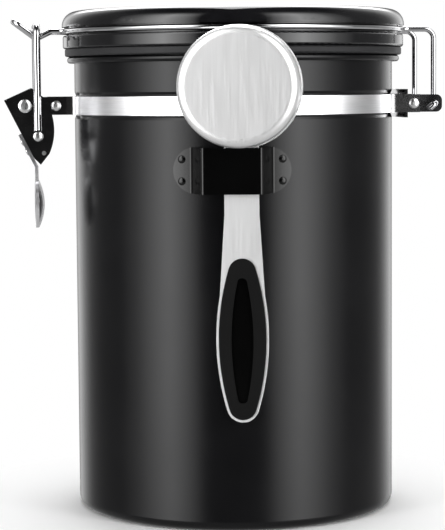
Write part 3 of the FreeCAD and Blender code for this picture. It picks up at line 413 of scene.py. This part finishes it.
def finish_nodes():
    """Give every node the finish of its material slot; the finger tab gets a rougher copy of the lever's
    steel, in a lighter colour that is painted light.
    """
    finishes = make_finishes()
    for part in frame["record"]["subparts"]:
        node = nodes[part["node"]]
        node.data.materials.clear()
        node.data.materials.append(finishes[part["material_slot"]])
    # Finger tab: the lever's steel in a lighter colour, a painted highlight, and with a rougher finish
    lit_tab_finish = polished_metal("lit_tab_steel", colour=(0.90, 0.90, 0.91), rough=(0.30, 0.38))
    nodes["thumb_tab"].data.materials[0] = lit_tab_finish


def soften_edges():
    """A tiny rounded break on the sharp edges of the stamped and moulded pieces."""
    for name, width in EDGE_BREAKS.items():
        bevel = nodes[name].modifiers.new("edge_break", "BEVEL")
        bevel.width = width * MM
        bevel.segments = BREAK_SEGMENTS
        bevel.limit_method = "ANGLE"
        bevel.angle_limit = math.radians(BREAK_ANGLE)
        bevel.harden_normals = True
        bevel.use_clamp_overlap = True


def text_mesh(words, size):
    """Thin mesh of a short text, centred on the origin, in a given font size."""
    curve = bpy.data.curves.new("label", "FONT")
    curve.body = words
    curve.size = size
    curve.align_x = "CENTER"
    curve.align_y = "CENTER"
    curve.extrude = PRINT_THICKNESS
    curve.resolution_u = PRINT_RESOLUTION
    holder = bpy.data.objects.new("label", curve)
    scene.collection.objects.link(holder)
    bpy.context.view_layer.update()
    mesh = bpy.data.meshes.new_from_object(holder.evaluated_get(bpy.context.evaluated_depsgraph_get()))
    bpy.data.objects.remove(holder)
    bpy.data.curves.remove(curve)
    return mesh


def ring_of_numbers(name, count, radius, size, level, body, print_finish):
    """Plain numbers from one to count, evenly round a dial, read from its rim."""
    whole = bmesh.new()
    for number in range(1, count + 1):
        mesh = text_mesh(str(number), size)
        turn = math.tau * (number - 1) / count
        mesh.transform(Matrix.Translation((0, 0, level)) @ Matrix.Rotation(-turn, 4, "Z")
                       @ Matrix.Translation((0, -radius, 0)))
        whole.from_mesh(mesh)
        bpy.data.meshes.remove(mesh)
    joined = bpy.data.meshes.new(name)
    whole.to_mesh(joined)
    whole.free()
    piece = bpy.data.objects.new(name, joined)
    scene.collection.objects.link(piece)
    joined.materials.append(print_finish)
    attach(piece, body)


def dial_numbers():
    """Days on the outer dial and months on the inner one, each midway across its ring."""
    print_finish = number_paint("dial_print", dark=(0.62, 0.62, 0.60), light=(0.80, 0.80, 0.78))
    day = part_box("day_dial")[1]
    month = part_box("month_dial")[1]
    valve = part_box("valve_cap")[1]
    ring_of_numbers("day_numbers", DAYS, (day.x + month.x) / 2, DAY_DIGITS, day.z, "day_ring",
                    print_finish)
    ring_of_numbers("month_numbers", MONTHS, (month.x + valve.x) / 2, MONTH_DIGITS, month.z, "month_ring",
                    print_finish)


def make_floor():
    """White floor disc under the can, lit near the can and plain white to the camera further out."""
    mesh = bpy.data.meshes.new("floor")
    disc = bmesh.new()
    bmesh.ops.create_circle(disc, cap_ends=True, segments=FLOOR_SEGMENTS, radius=FLOOR_RADIUS)
    disc.to_mesh(mesh)
    disc.free()
    floor = bpy.data.objects.new("floor", mesh)
    scene.collection.objects.link(floor)
    floor.location.z = cad_low.z - FLOOR_DROP
    floor.visible_glossy = False
    shader = Shader("floor")
    shader.set(Base_Color=FLOOR_COLOUR, Roughness=0.8, Specular_IOR_Level=0.1)
    fade = shader.spread(shader.axis_distance(), source=FLOOR_FADE)
    seen = shader.add("ShaderNodeLightPath").outputs["Is Camera Ray"]
    white = shader.add("ShaderNodeEmission").outputs["Emission"]
    blend = shader.mix_shaders(shader.math("MULTIPLY", fade, seen), shader.surface.outputs["BSDF"], white)
    shader.link(blend, shader.tree.nodes["Material Output"].inputs["Surface"])
    mesh.materials.append(shader.material)


def camera_side():
    """Level direction from the can to the camera."""
    azimuth = math.radians(CAMERA_AZIMUTH)
    return Vector((math.sin(azimuth), -math.cos(azimuth), 0))


def wall_brightness(studio, facing):
    """Colour ramp over the angle round from the camera's side, and the brightness of its white."""
    ramp = studio.add("ShaderNodeValToRGB")
    peak = max(brightness for _, brightness in WALLS)
    stops = ramp.color_ramp.elements
    stops.remove(stops[1])
    for index, (degrees, brightness) in enumerate(WALLS):
        place = math.radians(degrees) / math.pi
        stop = stops[0] if index == 0 else stops.new(place)
        stop.position = place
        stop.color = (*[brightness / peak] * 3, 1)
    angle = studio.math("ARCCOSINE", facing)
    studio.link(studio.math("DIVIDE", angle, math.pi), ramp.inputs["Fac"])
    return ramp.outputs["Color"], peak


def make_world():
    """White studio; reflections show soft lights beside the camera and behind the can, and dark gaps."""
    world = bpy.data.worlds.new("studio")
    scene.world = world
    world.use_nodes = True
    studio = NodeTree(world.node_tree)
    studio.tree.nodes.remove(studio.tree.nodes["Background"])

    def light(strength, colour=(1, 1, 1, 1)):
        node = studio.add("ShaderNodeBackground")
        studio.feed(node, (colour, strength))
        return node.outputs["Background"]

    direction = studio.split(studio.add("ShaderNodeTexCoord").outputs["Generated"])
    level = studio.vector_math("NORMALIZE", studio.join(direction["X"], direction["Y"]))
    facing = studio.vector_math("DOT_PRODUCT", level, camera_side())
    wall_colour, peak = wall_brightness(studio, facing)
    above = studio.step(direction["Z"], WALLS_TO_CEILING)
    below = studio.step(direction["Z"], WALLS_TO_TABLE)
    behind = studio.math("MULTIPLY", studio.step(direction["Z"], BACK_LIGHT_FOOT),
                         studio.step(facing, BACK_LIGHT_SIDES))
    room = studio.mix_shaders(above, light(peak, wall_colour), light(CEILING))
    room = studio.mix_shaders(below, room, light(TABLE))
    room = studio.mix_shaders(behind, room, light(BACK_LIGHT))
    rays = studio.add("ShaderNodeLightPath").outputs
    lit = studio.mix_shaders(rays["Is Glossy Ray"], light(AMBIENT), room)
    whole = studio.mix_shaders(rays["Is Camera Ray"], lit, light(BACKGROUND))
    studio.link(whole, studio.tree.nodes["World Output"].inputs["Surface"])


def make_lamp(name, side_angle, height, distance, width, tall, energy):
    """Soft box aimed at the can's middle; the angle is measured round from the camera's side."""
    lamp = bpy.data.lights.new(name, "AREA")
    lamp.shape = "RECTANGLE"
    lamp.size = width
    lamp.size_y = tall
    lamp.energy = energy
    holder = bpy.data.objects.new(name, lamp)
    scene.collection.objects.link(holder)
    holder.visible_glossy = False
    direction = Matrix.Rotation(math.radians(side_angle), 3, "Z") @ camera_side()
    holder.location = direction * distance + Vector((0, 0, height))
    aim = Vector((0, 0, (cad_low.z + cad_high.z) / 2)) - holder.location
    holder.rotation_euler = aim.to_track_quat("-Z", "Y").to_euler()


def make_camera():
    """Camera with the photograph's place, tilt, roll and framing."""
    data = bpy.data.cameras.new("camera")
    data.sensor_width = SENSOR
    data.lens = FOCAL_PIXELS * SENSOR / max(IMAGE_WIDTH, IMAGE_HEIGHT)
    camera = bpy.data.objects.new("camera", data)
    scene.collection.objects.link(camera)
    camera.location = camera_side() * CAMERA_DISTANCE + Vector((0, 0, CAMERA_HEIGHT))
    off_axis = math.atan((AXIS_PIXEL - IMAGE_WIDTH / 2) / FOCAL_PIXELS)
    level = Matrix.Rotation(math.radians(CAMERA_AZIMUTH) + off_axis, 3, "Z")
    tilt = Matrix.Rotation(math.radians(90 - CAMERA_PITCH), 3, "X")
    roll = Matrix.Rotation(math.radians(CAMERA_ROLL), 3, "Z")
    camera.rotation_euler = (level @ tilt @ roll).to_euler()
    scene.camera = camera


finish_nodes()
soften_edges()
dial_numbers()
make_floor()
make_world()
for lamp_name, settings in LAMPS.items():
    make_lamp(lamp_name, **settings)
make_camera()
scene.view_settings.view_transform = "Standard"
